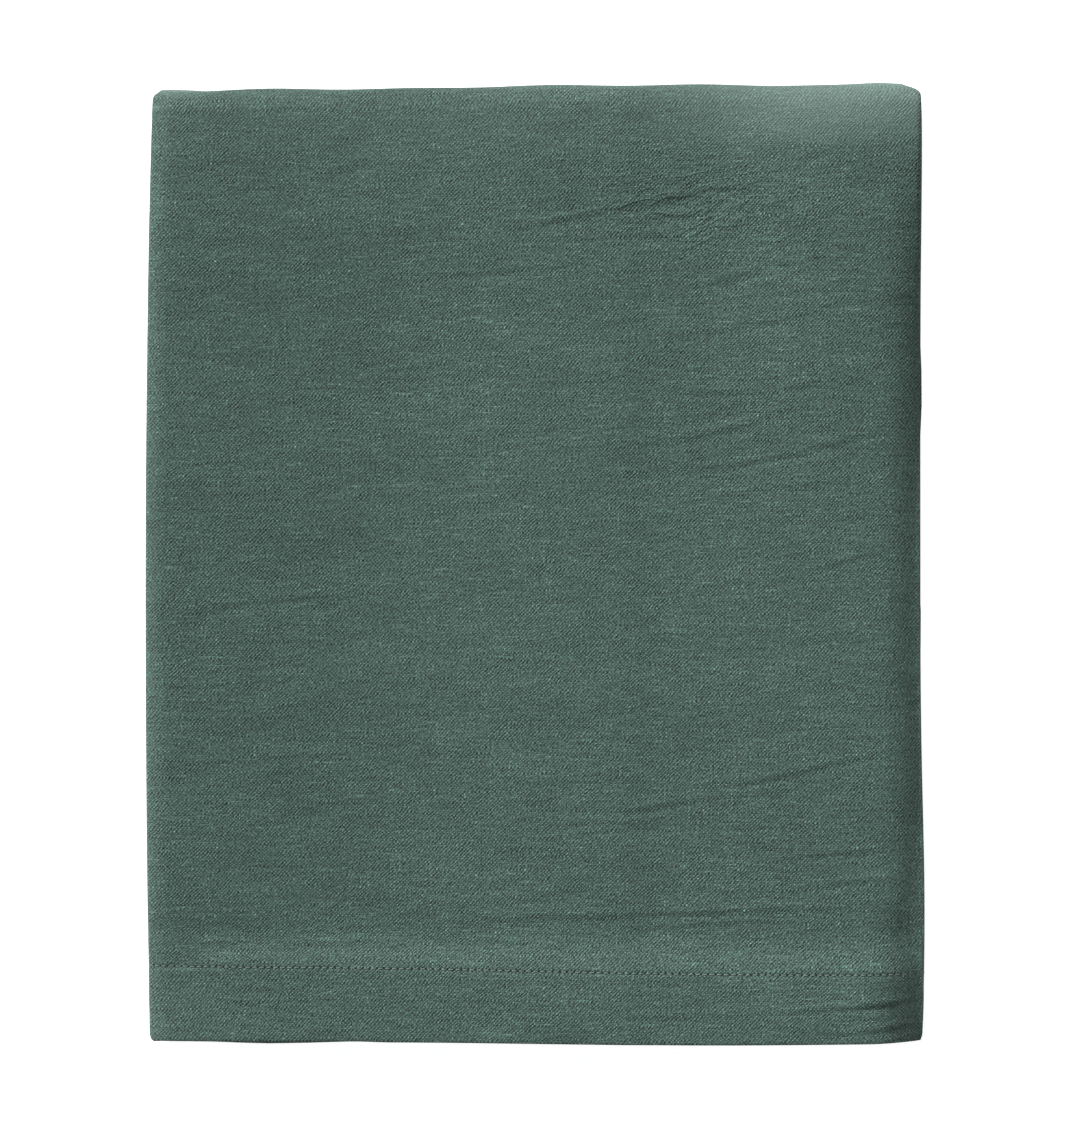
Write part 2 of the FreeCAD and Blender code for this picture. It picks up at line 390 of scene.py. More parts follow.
def settle(x, y, z):
    """From evenly packed layers to the settled packet. The halves meet in a level plane."""
    shift_x, shift_y = outline_shift(x, y, z)
    rise = np.clip((z - HALF) / (TOP - HALF), 0, None)
    upper = HALF + rise * (top_height(x, y) - HALF) + creases(x, y) * smooth(rise) ** 3
    upper += np.clip(inner_dent(x, y, 31), 0, None) * (1 - smooth(1.3 * rise)) * (rise > 0)
    lower = z - np.clip(inner_dent(x, y, 33), 0, None) * smooth(z / HALF) ** 2
    return x + shift_x, y + shift_y, np.where(z > HALF, upper, lower)


def place(across, along, offset_across=0.0, offset=0.0):
    """Where a point of the sheet goes. The offsets are to the cloth's wrong side."""
    point, normal = ACROSS.at(across)
    shift = offset_across + offset
    x = point[..., 0] + normal[..., 0] * shift
    lift = point[..., 1] + normal[..., 1] * shift
    base, inward = ALONG.at(along)
    y = base[..., 0] + inward[..., 0] * lift
    z = base[..., 1] + inward[..., 1] * lift
    return np.stack(settle(x, y, z), axis=-1)


# ---------------------------------------------------------------- stations

LAYER_STEP = 16.0
TOP_STEP_ACROSS, TOP_STEP_ALONG = 4.4, 1.3
HEM_STEP, TOP_HEM_STEP = 6.0, 2.5


def spaced(start, end, step):
    count = max(1, round(abs(end - start) / step))
    return np.linspace(start, end, count + 1)


def graded(start, end, step, margin=24.0, edge_step=3.0):
    """Stations over a panel, closer together near both of its ends."""
    return np.concatenate([
        spaced(start, start + margin, edge_step)[:-1],
        spaced(start + margin, end - margin, step)[:-1],
        spaced(end - margin, end, edge_step),
    ])


def bend_stations(start, end, count):
    return np.linspace(start, end, count + 1)


def last_fold_gap(start, end, clear=20.0):
    """The middle of a half-turn, and how far the clear angle, in degrees, reaches to each side."""
    return (start + end) / 2, (end - start) / 2 * clear / 90


def last_fold_stations(start, end, count):
    """A half-turn with no station near its middle, where the packet opens."""
    middle, reach = last_fold_gap(start, end)
    return np.concatenate([
        np.linspace(start, middle - reach, count // 2 + 1),
        np.linspace(middle + reach, end, count // 2 + 1),
    ])


def hem_track(full):
    """The turned hem in (distance from the free edge, offset), from raw edge to free edge."""
    track = Track((full - TUCK, HEM_PLY), (1, 0))
    return track.run(TUCK).turn(HEM_PLY / 2, 1).run(full).turn(HEM_PLY, 1)


def hem_stations(full, panel_length, far, step):
    """Stations of a hem as (place, offset, normals), in order along the sheet."""
    track = hem_track(full)
    steps = [spaced(0, TUCK, 5.0)]
    begin = TUCK
    steps.append(np.linspace(begin, begin + math.pi * HEM_PLY / 2, 5))
    begin += math.pi * HEM_PLY / 2
    steps.append(spaced(begin, begin + full, step))
    begin += full
    steps.append(np.linspace(begin, begin + math.pi * HEM_PLY, 7))
    distance = np.unique(np.concatenate(steps).round(6))
    point, normal = track.at(distance)
    if far:
        point = point[::-1] * (-1, 1) + (panel_length, 0)
        normal = normal[::-1] * (-1, 1)
        return point, normal, track.length - distance[::-1]
    return point, normal, distance - track.length


class Stations:
    """Lines of the sheet's grid in one direction: place, offset, normals and flat distance."""

    def __init__(self, distances):
        self.place = np.array(distances, float)
        self.offset = np.zeros_like(self.place)
        self.normal = np.tile((0.0, 1.0), (len(self.place), 1))
        self.flat = self.place.copy()

    def add_hem(self, full, total, far, step=HEM_STEP):
        point, normal, distance = hem_stations(full, total, far, step)
        flat = distance + (total if far else 0.0)
        parts = [
            (point[:, 0], self.place),
            (point[:, 1], self.offset),
            (normal, self.normal),
            (flat, self.flat),
        ]
        joined = []
        for hem, sheet in parts:
            if far:
                joined.append(np.concatenate([sheet, hem[1:]]))
            else:
                joined.append(np.concatenate([hem[:-1], sheet]))
        self.place, self.offset, self.normal, self.flat = joined
        return self


def layer_stations():
    """Grid lines of the layers inside the packet."""
    marks, total = ACROSS.marks, ACROSS.length
    bends = [
        (marks["a"] + S["right_bend"] - S["free_edge"], marks["b"], 6),
        (marks["c"] - math.pi * (S["layers"]["b"] - S["layers"]["c"]) / 2, marks["c"], 8),
        (marks["c_end"], marks["d"], 12),
    ]
    across = [graded(0, bends[0][0], LAYER_STEP)]
    for number, (start, end, count) in enumerate(bends):
        after = bends[number + 1][0] if number < 2 else total
        across += [bend_stations(start, end, count), graded(end, after, LAYER_STEP)]
    rows = ALONG.marks
    along = [
        graded(0, rows["row_1_end"], LAYER_STEP),
        last_fold_stations(rows["row_1_end"], rows["row_2"], 10),
        graded(rows["row_2"], rows["row_2_end"], LAYER_STEP),
        bend_stations(rows["row_2_end"], rows["row_3"], 12),
        graded(rows["row_3"], rows["row_3_end"], LAYER_STEP),
        last_fold_stations(rows["row_3_end"], rows["row_4"], 20),
        graded(rows["row_4"], ALONG.length, LAYER_STEP),
    ]
    seams = (
        [bends[1][0] - SEAM_REACH, marks["d"] + SEAM_REACH],
        [rows["row_3_end"] - SEAM_REACH],
    )
    lines = []
    for pieces, extra, length in ((across, seams[0], total), (along, seams[1], ALONG.length)):
        distances = np.unique(np.concatenate(pieces + [extra]).round(6))
        stations = Stations(distances)
        stations.add_hem(S["hem"], length, far=False).add_hem(S["hem"], length, far=True)
        lines.append(stations)
    return lines, seams


def top_stations(seams):
    """Grid lines of the top panel and the folds round it. Its creases run nearly along x, so the
    lines are close together along y."""
    marks, rows = ACROSS.marks, ALONG.marks
    left, right = seams[0]
    across = np.concatenate([
        spaced(left, left + SEAM_REACH, 2.0)[:-1],
        bend_stations(left + SEAM_REACH, marks["c"], 10)[:-1],
        spaced(marks["c"], marks["c_end"], TOP_STEP_ACROSS)[:-1],
        bend_stations(marks["c_end"], marks["d"], 16)[:-1],
        spaced(marks["d"], right, 2.0),
    ])
    along = np.concatenate([
        spaced(seams[1][0], rows["row_3_end"], 3.0)[:-1],
        last_fold_stations(rows["row_3_end"], rows["row_4"], 24)[:-1],
        spaced(rows["row_4"], ALONG.length, TOP_STEP_ALONG),
        ALONG.length - S["stitch_line"] + np.arange(-2.5, 2.6, 0.5),
    ])
    along = Stations(np.unique(along))
    return Stations(across), along.add_hem(S["hem"], ALONG.length, True, TOP_HEM_STEP)


# ---------------------------------------------------------------- meshes

def grid_points(across, along, lift):
    """Both coordinates of every grid point at this distance from the middle of the cloth."""
    along_place = along.place + along.normal[:, 0] * lift
    along_offset = along.offset + along.normal[:, 1] * lift
    across_place = across.place[:, None] + across.normal[:, :1] * along_offset
    across_offset = across.offset[:, None] + across.normal[:, 1:] * along_offset
    full_along = np.broadcast_to(along_place, across_place.shape)
    return place(across_place, full_along, across_offset)


def rim_lines(mask):
    """The edges round the kept cells, as pairs of grid points with the cells on their left."""
    padded = np.pad(mask, 1)
    inside = padded[1:-1, 1:-1]
    sides = [
        (padded[1:-1, :-2], (0, 0), (1, 0)),
        (padded[2:, 1:-1], (1, 0), (1, 1)),
        (padded[1:-1, 2:], (1, 1), (0, 1)),
        (padded[:-2, 1:-1], (0, 1), (0, 0)),
    ]
    lines = []
    for beyond, start, end in sides:
        cells = np.argwhere(inside & ~beyond)
        lines.append(np.stack([cells + start, cells + end], axis=1))
    return np.concatenate(lines)


def mesh_object(name, vertices, faces, flat=None, rim=0, spread=None):
    """A new object. The last rim faces are flat-shaded, so that the edge of the cloth is crisp.

    spread is a strip of the cloth that pulls out when the packet opens: its start and end along the
    cloth, and its opened width. The weave is laid out for that width.
    """
    mesh = bpy.data.meshes.new(name)
    mesh.from_pydata((vertices * MM).tolist(), [], faces)
    mesh.polygons.foreach_set("use_smooth", [True] * (len(faces) - rim) + [False] * rim)
    if flat is not None:
        corner = np.zeros(len(mesh.loops), np.int32)
        mesh.loops.foreach_get("vertex_index", corner)
        place_on_cloth = flat[corner]
        if spread is not None:
            start, end, width = spread
            along = place_on_cloth[:, 1].reshape(-1, 4)
            inside = (along.min(axis=1) > start - 0.01) & (along.max(axis=1) < end + 0.01)
            along[inside] = start + (along[inside] - start) * width / (end - start)
        mesh.uv_layers.new(name="flat_cloth").data.foreach_set("uv", (place_on_cloth * MM).ravel())
    mesh.update()
    if mesh.validate(verbose=True):
        raise RuntimeError(f"{name} had faces that Blender had to mend")
    piece = bpy.data.objects.new(name, mesh)
    bpy.context.scene.collection.objects.link(piece)
    return piece


def flat_grid(across, along):
    return np.stack(np.meshgrid(across.flat, along.flat, indexing="ij"), axis=-1).reshape(-1, 2)


def closed_sheet(name, across, along, mask, spread=None):
    """A sheet with both faces and a rim, over the kept cells of the grid."""
    wide, long = len(across.place), len(along.place)
    half = S["thick"] / 2
    wrong = grid_points(across, along, half).reshape(-1, 3)
    right = grid_points(across, along, -half).reshape(-1, 3)
    count = wide * long
    number = np.arange(count).reshape(wide, long)
    corners = [number[:-1, :-1], number[1:, :-1], number[1:, 1:], number[:-1, 1:]]
    corners = np.stack(corners, axis=-1)
    cells = corners[mask]
    rim = rim_lines(mask)
    start, end = number[tuple(rim[:, 0].T)], number[tuple(rim[:, 1].T)]
    rim_cells = np.stack([end, start, start + count, end + count], axis=1)
    faces = np.concatenate([cells, cells[:, ::-1] + count, rim_cells])
    flat = flat_grid(across, along)
    used, faces = np.unique(faces, return_inverse=True)
    faces = faces.reshape(-1, 4).tolist()
    vertices = np.concatenate([wrong, right])[used]
    flat = np.concatenate([flat, flat])[used]
    return mesh_object(name, vertices, faces, flat, len(rim), spread)


def midpoints(values):
    return (values[:-1] + values[1:]) / 2


def make_layers(lines, seams):
    """All of the cloth but the top panel and its folds. The hems are mitred at the corners."""
    across, along = lines
    across_place, along_place = midpoints(across.place), midpoints(along.place)
    from_side = np.minimum(across_place, ACROSS.length - across_place)[:, None]
    from_end = np.minimum(along_place, ALONG.length - along_place)[None, :]
    side_hem = (midpoints(across.offset) > 0)[:, None]
    end_hem = (midpoints(along.offset) > 0)[None, :]
    mask = ~(side_hem & (from_end < from_side)) & ~(end_hem & (from_side < from_end))
    mask &= ~(side_hem & end_hem)
    flat_across, flat_along = midpoints(across.flat), midpoints(along.flat)
    top_across = (flat_across > seams[0][0]) & (flat_across < seams[0][1])
    mask[np.ix_(top_across, flat_along > seams[1][0])] = False
    rows = ALONG.marks
    middle, reach = last_fold_gap(rows["row_1_end"], rows["row_2"])
    spread = (middle - reach, middle + reach, 2 * (HALF_LENGTH - S["back_bend"]))
    return closed_sheet("cloth_layers", across, along, mask, spread)


def make_top(seams):
    """The top panel, with the folds on three sides of it and the turned hem on the fourth."""
    across, along = top_stations(seams)
    mask = np.ones((len(across.place) - 1, len(along.place) - 1), bool)
    return closed_sheet("cloth_top", across, along, mask)


layer_lines, seam_places = layer_stations()
cloth_layers = make_layers(layer_lines, seam_places)
cloth_top = make_top(seam_places)


# ---------------------------------------------------------------- stitches

RING = [(math.cos(turn), math.sin(turn)) for turn in np.arange(6) * math.pi / 3]
# Along a stitch: share of its length, height over the cloth and radius, in millimetres.
STITCH_RINGS = [
    (-0.5, -0.16, 0.15),
    (-0.28, 0.14, 0.26),
    (0, 0.22, 0.28),
    (0.28, 0.14, 0.26),
    (0.5, -0.16, 0.15),
]


def stitch_shape(centre, along_x, random, side):
    """Points of one stitch: a short thread, low at both ends where it dives into the cloth.

    Each point is its place on the flat cloth and its offset. side is 1 for the right side.
    """
    length = STITCH * random.uniform(0.72, 0.8)
    slant = random.normal(0.06, 0.03)
    swell = random.uniform(0.9, 1.12)
    surface = S["thick"] / 2 if side > 0 else S["thick"] / 2 + 2 * HEM_PLY
    points = []
    for step, lift, radius in STITCH_RINGS:
        for wide, high in RING:
            forward = step * length
            sideways = radius * swell * wide + slant * forward
            offset = -side * (surface + lift + 0.6 * radius * swell * high)
            flat = (forward, sideways) if along_x else (sideways, forward)
            points.append((centre[0] + flat[0], centre[1] + flat[1], offset))
    return points


def stitch_faces(first):
    ring, last = len(RING), first + len(RING) * (len(STITCH_RINGS) - 1)
    faces = [tuple(first + ring - 1 - k for k in range(ring))]
    for row in range(first, last, ring):
        for k in range(ring):
            a, b = row + k, row + (k + 1) % ring
            faces.append((a, b, b + ring, a + ring))
    faces.append(tuple(last + k for k in range(ring)))
    return faces


def stitch_line(name, fixed, along_x, upper, seed):
    """The stitches of one hem, on both sides of the cloth, that lie in one half of the packet."""
    random = np.random.default_rng(seed)
    total = ACROSS.length if along_x else ALONG.length
    flat = []
    for number in range(1, int(total / STITCH)):
        position = (number + 0.5) * STITCH
        centre = (position, fixed) if along_x else (fixed, position)
        flat += [stitch_shape(centre, along_x, random, side) for side in (1, -1)]
    flat = np.array(flat)
    points = place(flat[..., 0], flat[..., 1], 0.0, flat[..., 2])
    in_upper = points[..., 2] > HALF
    kept = in_upper.all(axis=1) if upper else ~in_upper.any(axis=1)
    count = points.shape[1]
    faces = [face for number in range(kept.sum()) for face in stitch_faces(number * count)]
    return mesh_object(name, points[kept].reshape(-1, 3), faces)


line = S["stitch_line"]
stitching = {
    "far_end": [stitch_line("stitches_far_end", ALONG.length - line, True, True, 41)],
    "near_end": [stitch_line("stitches_near_end", line, True, True, 42)],
}
for side, fixed in (("left", line), ("right", ACROSS.length - line)):
    stitching[side] = [
        stitch_line(f"stitches_{side}_side_{half}", fixed, False, half == "upper", 43)
        for half in ("lower", "upper")
    ]


# ---------------------------------------------------------------- materials

class Graph:
    """A material's nodes, with a short way to write sums."""

    def __init__(self, name):
        self.material = bpy.data.materials.new(name)
        self.material.use_nodes = True
        self.tree = self.material.node_tree
        self.shader = self.tree.nodes["Principled BSDF"]

    def feed(self, socket, value):
        if isinstance(value, bpy.types.NodeSocket):
            self.tree.links.new(value, socket)
        else:
            socket.default_value = value

    def math(self, operation, *values, clamp=False):
        node = self.tree.nodes.new("ShaderNodeMath")
        node.operation = operation
        node.use_clamp = clamp
        for socket, value in zip(node.inputs, values):
            self.feed(socket, value)
        return node.outputs[0]

    def add(self, a, b):
        return self.math("ADD", a, b)

    def less(self, a, b):
        return self.math("SUBTRACT", a, b)

    def times(self, a, b):
        return self.math("MULTIPLY", a, b)

    def distance(self, a, b):
        squares = self.math("POWER", a, 2.0), self.math("POWER", b, 2.0)
        return self.math("SQRT", self.add(*squares))

    def between(self, value, low, high, to_low=0.0, to_high=1.0):
        """Smoothly from to_low at low to to_high at high."""
        node = self.tree.nodes.new("ShaderNodeMapRange")
        node.interpolation_type = "SMOOTHSTEP"
        for socket, item in zip(node.inputs, (value, low, high, to_low, to_high)):
            self.feed(socket, item)
        return node.outputs[0]

    def noise(self, x, y, detail=0.0, roughness=0.5):
        """Noise of unit scale at a point, from 0 to 1."""
        node = self.tree.nodes.new("ShaderNodeTexNoise")
        node.noise_dimensions = "2D"
        self.feed(node.inputs["Vector"], self.vector(x, y))
        self.feed(node.inputs["Scale"], 1.0)
        self.feed(node.inputs["Detail"], detail)
        self.feed(node.inputs["Roughness"], roughness)
        return node.outputs[0]

    def vector(self, x, y):
        node = self.tree.nodes.new("ShaderNodeCombineXYZ")
        self.feed(node.inputs[0], x)
        self.feed(node.inputs[1], y)
        return node.outputs[0]

    def flat_place(self):
        """Both coordinates of the flat cloth, in millimetres."""
        node = self.tree.nodes.new("ShaderNodeUVMap")
        node.uv_map = "flat_cloth"
        split = self.tree.nodes.new("ShaderNodeSeparateXYZ")
        self.tree.links.new(node.outputs[0], split.inputs[0])
        return self.times(split.outputs[0], 1 / MM), self.times(split.outputs[1], 1 / MM)

    def shade(self, colour, brightness):
        """The colour, brightened or darkened."""
        node = self.tree.nodes.new("ShaderNodeVectorMath")
        node.operation = "SCALE"
        self.feed(node.inputs[0], colour)
        self.feed(node.inputs["Scale"], brightness)
        return node.outputs[0]

    def mix(self, amount, a, b):
        """From colour a to colour b. Sockets 6, 7 and 2 are the node's colour sockets."""
        node = self.tree.nodes.new("ShaderNodeMix")
        node.data_type = "RGBA"
        self.feed(node.inputs["Factor"], amount)
        self.feed(node.inputs[6], a)
        self.feed(node.inputs[7], b)
        return node.outputs[2]

    def bump(self, height, distance):
        node = self.tree.nodes.new("ShaderNodeBump")
        node.inputs["Strength"].default_value = 1.0
        node.inputs["Distance"].default_value = distance
        self.feed(node.inputs["Height"], height)
        self.feed(self.shader.inputs["Normal"], node.outputs[0])


THREAD_PITCH = 0.87
GREEN = (0.0595, 0.1080, 0.0905)
# The paler green of the painted highlight along the last fold.
FOLD_HIGHLIGHT_GREEN = (0.205, 0.285, 0.250, 1)
THREAD_GREEN = (0.140, 0.205, 0.180)
# How much painted light and shade the slanting ridges put into the cloth's colour.
PAINTED_RIDGE_SHADE = 0.57
RIDGE_RELIEF = 0.07
COUNTER_RIDGE = 0.5
SPECK_LIGHT = 0.52
SLUB_LIGHT = 0.4
CRINKLE_RELIEF, LINE_RELIEF, HOLE_RELIEF = 0.25, 0.2, 0.3


def weave(graph, across, along):
    """Plain weave. Returns its height, from about 0 to 1, the slanting ridges that the twist of the
    threads gives it, from -1 to 1, and how bright each thread is."""
    wander_x = graph.noise(graph.times(across, 0.11), graph.times(along, 0.25), 3.0, 0.65)
    shifted = graph.add(graph.times(along, 0.3), 50.0)
    wander_y = graph.noise(graph.times(across, 0.07), shifted, 3.0, 0.65)
    x = graph.add(graph.times(across, 1 / THREAD_PITCH), graph.times(wander_x, 2.2))
    y = graph.add(graph.times(along, 1 / THREAD_PITCH), graph.times(wander_y, 2.2))
    warp, weft = graph.math("ROUND", x), graph.math("ROUND", y)
    weft_tone = graph.noise(graph.times(x, 0.05), graph.times(weft, 3.71), 2.0, 0.7)
    warp_tone = graph.noise(graph.times(warp, 4.37), graph.times(y, 0.05), 2.0, 0.7)

    def thread(position, number, along_thread, tone, sign):
        """Height of one set of threads: round in section, and over and under the other set."""
        thick = graph.between(tone, 0.25, 0.75, 1.9, 3.3)
        section = graph.math("COSINE", graph.times(graph.less(position, number), thick))
        parity = graph.math("COSINE", graph.times(number, math.pi))
        rise = graph.times(parity, graph.math("COSINE", graph.times(along_thread, math.pi)))
        return graph.add(graph.times(section, 0.5), graph.times(rise, 0.5 * sign))

    def thread_light(tone, dark, bright):
        """How bright a thread is: its own shade, and lighter still where it is a slub."""
        slub = graph.between(tone, 0.64, 0.72, 0.0, SLUB_LIGHT)
        return graph.add(graph.between(tone, 0.2, 0.8, dark, bright), slub)

    warp_height = thread(x, warp, y, warp_tone, 1)
    weft_height = thread(y, weft, x, weft_tone, -1)
    height = graph.math("SMOOTH_MAX", warp_height, weft_height, 0.15)
    on_top = graph.between(graph.less(warp_height, weft_height), -0.1, 0.1)
    warp_light = thread_light(warp_tone, 0.79, 1.18)
    weft_light = thread_light(weft_tone, 0.63, 1.35)
    tone = graph.add(
        graph.times(warp_light, on_top),
        graph.times(weft_light, graph.less(1.0, on_top)),
    )
    speck = graph.noise(graph.times(x, 0.8), graph.times(y, 0.8), 1.0, 0.8)
    tone = graph.times(tone, graph.between(speck, 0.25, 0.75, 1 - SPECK_LIGHT, 1 + SPECK_LIGHT))
    patch = graph.noise(graph.times(x, 0.09), graph.times(y, 0.09), 1.0)
    patch = graph.between(patch, 0.3, 0.7, 0.65, 1.05)
    ridge = graph.times(graph.math("COSINE", graph.times(graph.add(x, y), math.pi)), patch)
    counter = graph.math("COSINE", graph.times(graph.less(x, y), math.pi))
    ridge = graph.add(ridge, graph.times(counter, COUNTER_RIDGE))
    return height, ridge, tone


def needle_holes(graph, across, along):
    """1 in the cloth, and 0 in the holes of the four stitch lines."""
    inset = S["stitch_line"]

    def from_line(value, length):
        middle = graph.math("ABSOLUTE", graph.less(value, length / 2))
        return graph.math("ABSOLUTE", graph.less(middle, length / 2 - inset))

    def from_hole(value):
        return graph.math("PINGPONG", value, STITCH / 2)

    nearest = []
    for line_value, length, hole_value in (
        (across, ACROSS.length, along),
        (along, ALONG.length, across),
    ):
        line_distance, hole_distance = from_line(line_value, length), from_hole(hole_value)
        nearest.append(graph.distance(line_distance, hole_distance))
    return graph.between(graph.math("MINIMUM", *nearest), 0.36, 0.72)


def painted_fold_highlight(graph, across, along):
    """How much painted highlight lies along the last fold, most of all at its right end, where the
    colour is mixed towards a paler green.
    """
    marks, rows = ACROSS.marks, ALONG.marks
    fold = (rows["row_3_end"] + rows["row_4"]) / 2
    away = graph.math("ABSOLUTE", graph.less(along, fold))
    near = graph.between(away, 12.0, 44.0, 1.0, 0.0)
    rightward = graph.between(across, marks["c"] + 210, marks["c_end"] - 50, 0.06, 0.34)
    return graph.times(near, rightward)


def crinkle_lines(graph, across, along):
    """Thin branching lines, strongest in the crowded place near the back of the top panel."""
    sway = graph.times(graph.noise(graph.times(across, 0.03), graph.times(along, 0.03)), 2.2)
    first_along = graph.add(graph.times(along, 0.18), sway)
    first = graph.noise(graph.times(across, 0.03), first_along, 1.5, 0.5)
    second_along = graph.add(graph.times(along, 0.2), graph.times(across, 0.06))
    second = graph.noise(
        graph.add(graph.times(across, 0.05), 30.0), graph.add(second_along, sway), 1.5, 0.5,
    )
    thin = []
    for field in (first, second):
        away = graph.math("ABSOLUTE", graph.less(field, 0.5))
        thin.append(graph.between(away, 0.0, 0.09, 1.0, 0.0))
    wide = graph.times(graph.less(across, ACROSS.marks["c"] + 262), 1 / 46)
    deep = graph.times(graph.less(along, ALONG.marks["row_4"] + 46), 1 / 17)
    crowded = graph.between(graph.distance(wide, deep), 0.4, 1.6, 1.0, 0.2)
    return graph.times(graph.add(*thin), crowded)


def cloth_material():
    graph = Graph("green_linen")
    across, along = graph.flat_place()
    height, ridge, tone = weave(graph, across, along)
    holes = needle_holes(graph, across, along)
    mottle = graph.noise(graph.times(across, 0.02), graph.times(along, 0.05), 3.0, 0.6)
    streaks = graph.noise(graph.times(across, 0.03), graph.times(along, 0.35), 2.0, 0.6)
    # Painted shade: the colour darkens in the hollows between the threads and lightens on their
    # crowns.
    light = graph.times(graph.between(height, -0.1, 0.95, 0.45, 1.2), tone)
    # Painted light and shade: the colour is lighter along the crests of the slanting ridges and
    # darker between them.
    light = graph.math("MAXIMUM", graph.add(light, graph.times(ridge, PAINTED_RIDGE_SHADE)), 0.08)
    light = graph.times(light, graph.between(mottle, 0.25, 0.75, 0.94, 1.07))
    light = graph.times(light, graph.between(streaks, 0.25, 0.75, 0.97, 1.03))
    fleck = graph.noise(graph.times(across, 0.75), graph.times(along, 0.75))
    light = graph.times(light, graph.between(fleck, 0.80, 0.88, 1.0, 1.9))
    light = graph.times(light, graph.between(fleck, 0.10, 0.15, 0.3, 1.0))
    # Painted shade: the colour darkens almost to black in the needle holes of the stitch lines.
    light = graph.times(light, graph.add(graph.times(holes, 0.92), 0.08))
    # Painted highlight: along the last fold the colour is mixed towards a paler green.
    colour = graph.mix(painted_fold_highlight(graph, across, along), graph.shade(GREEN, light), FOLD_HIGHLIGHT_GREEN)
    graph.feed(graph.shader.inputs["Base Color"], colour)
    graph.shader.inputs["Roughness"].default_value = 0.88
    graph.shader.inputs["Specular IOR Level"].default_value = 0.25
    graph.shader.inputs["Sheen Weight"].default_value = 0.3
    graph.shader.inputs["Sheen Roughness"].default_value = 0.6
    graph.shader.inputs["Sheen Tint"].default_value = (0.75, 0.9, 0.85, 1)
    crinkle = graph.noise(graph.times(across, 0.06), graph.times(along, 0.28), 4.0, 0.6)
    lines = crinkle_lines(graph, across, along)
    relief = graph.add(graph.times(height, 0.1), graph.times(ridge, RIDGE_RELIEF))
    for field, share in ((crinkle, CRINKLE_RELIEF), (lines, LINE_RELIEF), (holes, HOLE_RELIEF)):
        relief = graph.add(relief, graph.times(field, share))
    graph.bump(relief, MM)
    return graph.material


def thread_material():
    """Two-ply thread: twisted strands a little lighter than the cloth."""
    graph = Graph("green_thread")
    place_node = graph.tree.nodes.new("ShaderNodeTexCoord")
    twist = graph.tree.nodes.new("ShaderNodeTexWave")
    twist.inputs["Scale"].default_value = 900
    twist.inputs["Distortion"].default_value = 1.5
    graph.feed(twist.inputs["Vector"], place_node.outputs["Object"])
    strand = twist.outputs[1]
    colour = graph.shade(THREAD_GREEN, graph.between(strand, 0, 1, 0.75, 1.15))
    graph.feed(graph.shader.inputs["Base Color"], colour)
    graph.shader.inputs["Roughness"].default_value = 0.6
    graph.shader.inputs["Sheen Weight"].default_value = 0.1
    graph.bump(strand, 0.05 * MM)
    return graph.material


cloth_finish, thread_finish = cloth_material(), thread_material()
for piece in (cloth_layers, cloth_top):
    piece.data.materials.append(cloth_finish)
for pieces in stitching.values():
    for piece in pieces:
        piece.data.materials.append(thread_finish)


# ---------------------------------------------------------------- bodies

def open_at_last_fold(piece):
    """Bakes the piece's placing into its mesh."""
    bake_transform(piece)


for piece in (cloth_layers, cloth_top):
    open_at_last_fold(piece)

TOP_NODES = ["panel_c4", "crease_b4_c4", "crease_c4_d4", "back_crease_rows_3_4_upper"]
layer_nodes = [
    node for node in frame["nodes"]
    if "stitching" not in node and node not in TOP_NODES
]
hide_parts(*TOP_NODES)
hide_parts(*layer_nodes)

for seam, pieces in stitching.items():
    for piece in pieces:
        half = "lower" if piece.name.endswith("lower") else "upper"
        suffix = f"_side_stitching_{half}" if "side" in piece.name else "_stitching"
        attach(piece, f"{half}_half")
        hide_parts(seam + suffix)


# ---------------------------------------------------------------- stage

# Each light's share of the light on a level surface. The world gives the rest.
KEY_SHARE, FRONT_SHARE, OVERHEAD_SHARE = 0.75, 0.09, 0.13
KEY_HEIGHT, FRONT_HEIGHT, SUN_ANGLE = math.radians(22), math.radians(20), math.radians(20)
OVERHEAD_PLACE, OVERHEAD_HEIGHT, OVERHEAD_SIZE = (0.08, 0.02), 0.33, 0.16
FLOOR_GLOW = 0.90
PICTURE_CENTRE, PICTURE_HEIGHT = (0.0028, 0.0009), 0.5302


def make_floor():
    """White, and seen as if partly lit from within, so that its shadows are as faint as on a light
    table. That glow lights nothing else."""
    floor_mesh = bpy.data.meshes.new("floor")
    reach = 30
    corners = [(-reach, -reach, 0), (reach, -reach, 0), (reach, reach, 0), (-reach, reach, 0)]
    floor_mesh.from_pydata(corners, [], [(0, 1, 2, 3)])
    floor = bpy.data.objects.new("floor", floor_mesh)
    bpy.context.scene.collection.objects.link(floor)
    floor.location.z = -0.2 * MM
    graph = Graph("white_floor")
    graph.shader.inputs["Base Color"].default_value = (0.8, 0.8, 0.8, 1)
    graph.shader.inputs["Roughness"].default_value = 0.9
    graph.shader.inputs["Emission Color"].default_value = (1, 1, 1, 1)
    seen = graph.tree.nodes.new("ShaderNodeLightPath").outputs["Is Camera Ray"]
    graph.feed(graph.shader.inputs["Emission Strength"], graph.times(seen, FLOOR_GLOW))
    floor_mesh.materials.append(graph.material)


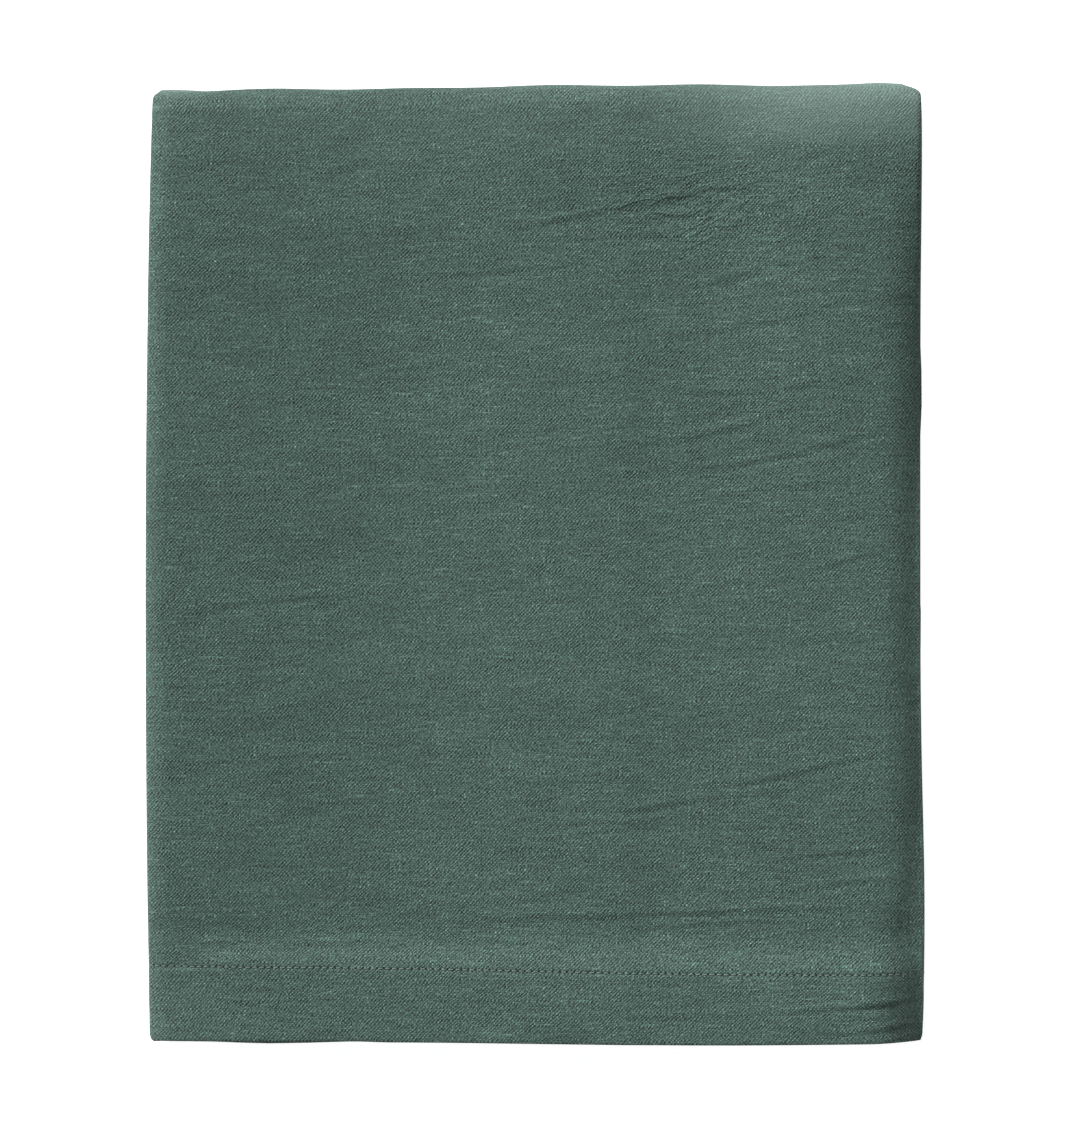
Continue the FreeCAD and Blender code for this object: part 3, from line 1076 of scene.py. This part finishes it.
def make_camera():
    """Looks straight down. The picture takes in 530 mm at the packet's middle height."""
    camera_data = bpy.data.cameras.new("camera")
    camera_data.lens = 100
    camera = bpy.data.objects.new("camera", camera_data)
    bpy.context.scene.collection.objects.link(camera)
    distance = PICTURE_HEIGHT * camera_data.lens / camera_data.sensor_width
    camera.location = (*PICTURE_CENTRE, HALF * MM + distance)
    bpy.context.scene.camera = camera


def make_sun(name, direction, height, share):
    """A low soft sun. share is its part of the light on a level surface."""
    towards = Vector((*direction, 0)).normalized() * math.cos(height)
    towards.z = math.sin(height)
    sun_data = bpy.data.lights.new(name, "SUN")
    sun_data.energy = share * math.pi / math.sin(height)
    sun_data.angle = SUN_ANGLE
    sun = bpy.data.objects.new(name, sun_data)
    sun.rotation_euler = towards.to_track_quat("Z", "Y").to_euler()
    bpy.context.scene.collection.objects.link(sun)


def make_overhead_light():
    """A soft round light above the middle, a little brighter there than at the packet's edges."""
    overhead_data = bpy.data.lights.new("overhead", "AREA")
    overhead_data.shape = "DISK"
    overhead_data.size = OVERHEAD_SIZE
    overhead_data.energy = OVERHEAD_SHARE * math.pi ** 2 * OVERHEAD_HEIGHT ** 2
    overhead = bpy.data.objects.new("overhead", overhead_data)
    overhead.location = (*OVERHEAD_PLACE, OVERHEAD_HEIGHT + TOP * MM)
    overhead.visible_camera = False
    bpy.context.scene.collection.objects.link(overhead)


def make_world():
    """An even fill. The background is seen as white."""
    world = bpy.data.worlds.new("world")
    world.use_nodes = True
    nodes, links = world.node_tree.nodes, world.node_tree.links
    seen = nodes.new("ShaderNodeLightPath").outputs["Is Camera Ray"]
    strength = nodes.new("ShaderNodeMapRange")
    strength.inputs["To Min"].default_value = 1 - KEY_SHARE - FRONT_SHARE - OVERHEAD_SHARE
    strength.inputs["To Max"].default_value = 1.0
    links.new(seen, strength.inputs["Value"])
    links.new(strength.outputs[0], nodes["Background"].inputs["Strength"])
    nodes["Background"].inputs["Color"].default_value = (1, 1, 1, 1)
    bpy.context.scene.world = world


bpy.context.scene.view_settings.view_transform = "Standard"
make_sun("key", (-0.62, 0.78), KEY_HEIGHT, KEY_SHARE)
make_sun("front", (0.55, -0.83), FRONT_HEIGHT, FRONT_SHARE)
make_overhead_light()
make_world()
make_floor()
make_camera()
